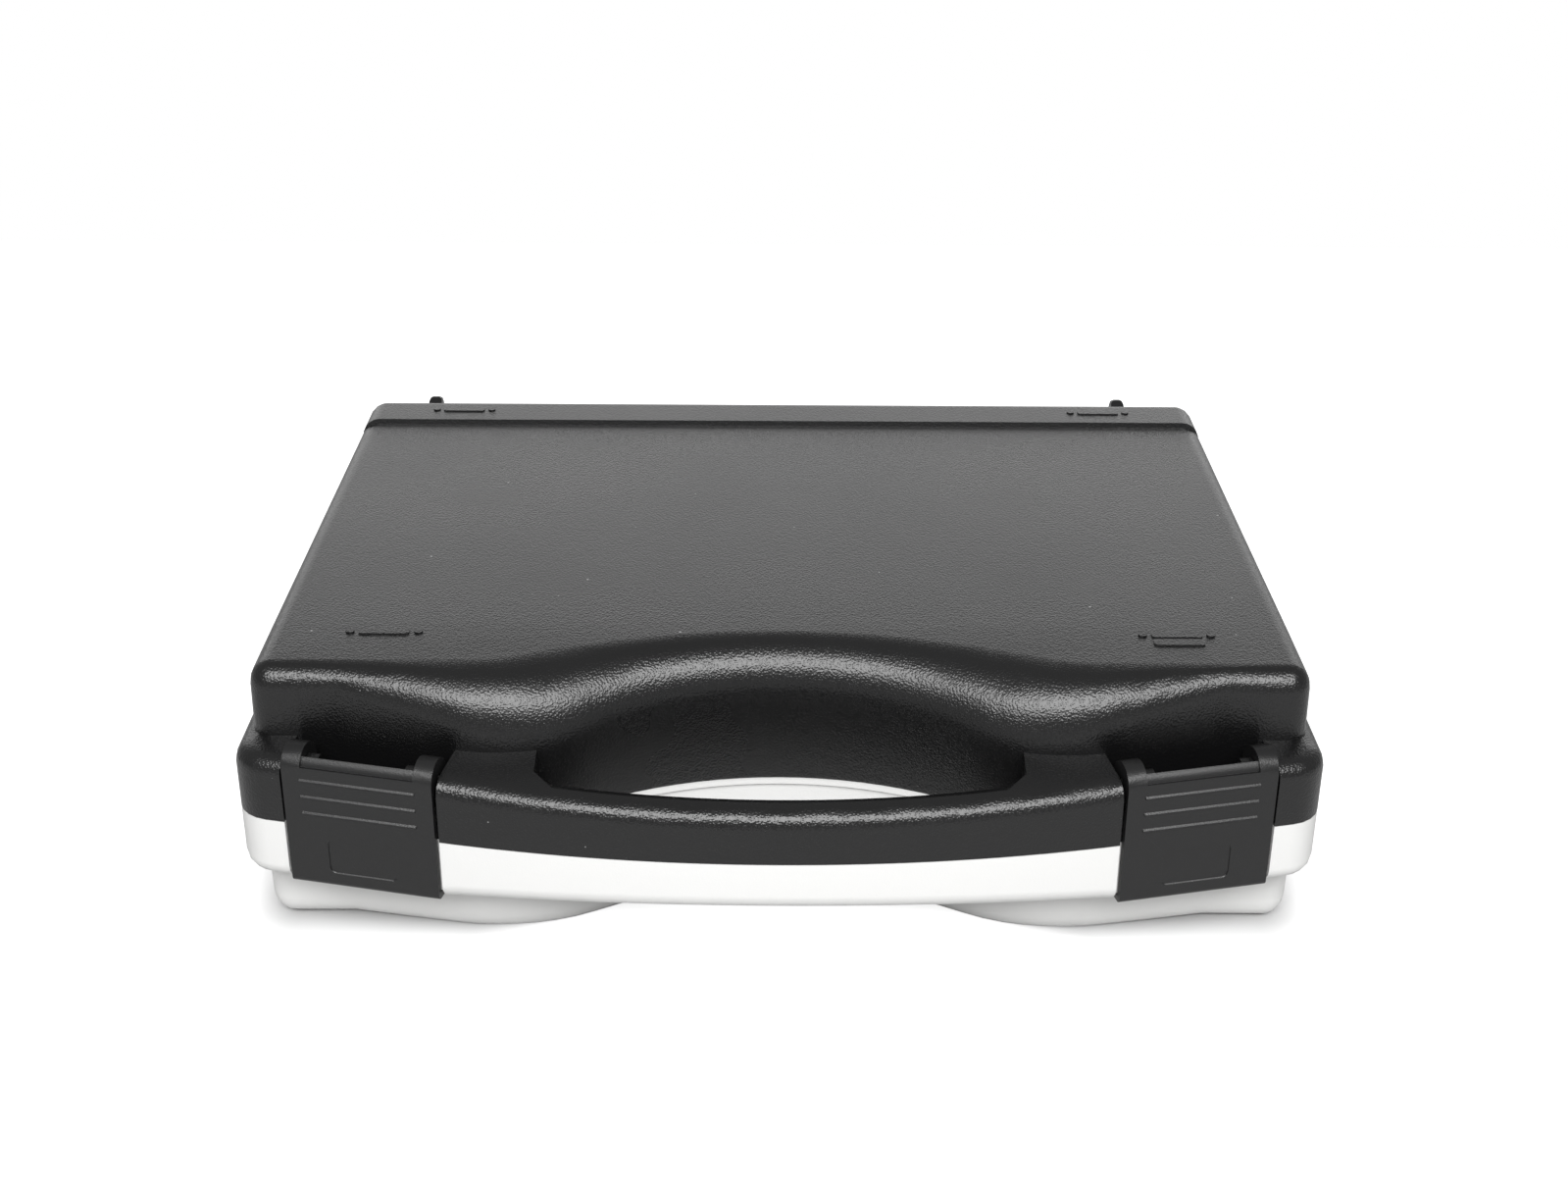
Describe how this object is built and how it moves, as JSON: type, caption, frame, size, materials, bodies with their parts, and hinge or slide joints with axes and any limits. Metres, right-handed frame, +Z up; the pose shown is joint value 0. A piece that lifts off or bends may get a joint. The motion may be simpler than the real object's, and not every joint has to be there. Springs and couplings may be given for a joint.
{
  "type": "laptop hard case",
  "caption": "Moulded hard case for a laptop, with a black lid, a white base, a bowed handle in two halves, hooked front latches, rear hinges and foam liners.",
  "frame": {"origin": "middle of the ground that the closed case covers, at the height of its underside", "axes": "+X to the viewer's right along the handle, +Y from the handle to the hinges, +Z up through the lid"},
  "size_m": [0.4, 0.3308, 0.1086],
  "materials": {
    "white_plastic": "fine grain, natural white polypropylene",
    "black_plastic": "fine leather grain, black polypropylene",
    "plated_steel": "zinc plated",
    "foam": "open-cell foam"
  },
  "bodies": {
    "base": {"base_shell": "white_plastic", "base_foam": "foam", "hinge_pin_left": "plated_steel", "hinge_pin_right": "plated_steel"},
    "lid": {"lid_shell": "black_plastic", "lid_foam": "foam", "latch_rod_left": "plated_steel", "latch_rod_right": "plated_steel"},
    "latch_left": {"latch_left": "black_plastic"},
    "latch_right": {"latch_right": "black_plastic"}
  },
  "joints": [
    {"name": "lid_hinge", "type": "hinge", "parent": "base", "child": "lid", "pos_m": [0, 0.1604, 0.054], "axis": [-1, 0, 0], "range_deg": [0, 110]},
    {"name": "latch_left_pivot", "type": "hinge", "parent": "lid", "child": "latch_left", "pos_m": [-0.15024, -0.13833, 0.0766], "axis": [-0.975, 0.2224, 0], "range_deg": [0, 120]},
    {"name": "latch_right_pivot", "type": "hinge", "parent": "lid", "child": "latch_right", "pos_m": [0.15024, -0.13833, 0.0766], "axis": [-0.975, -0.2224, 0], "range_deg": [0, 120]}
  ]
}
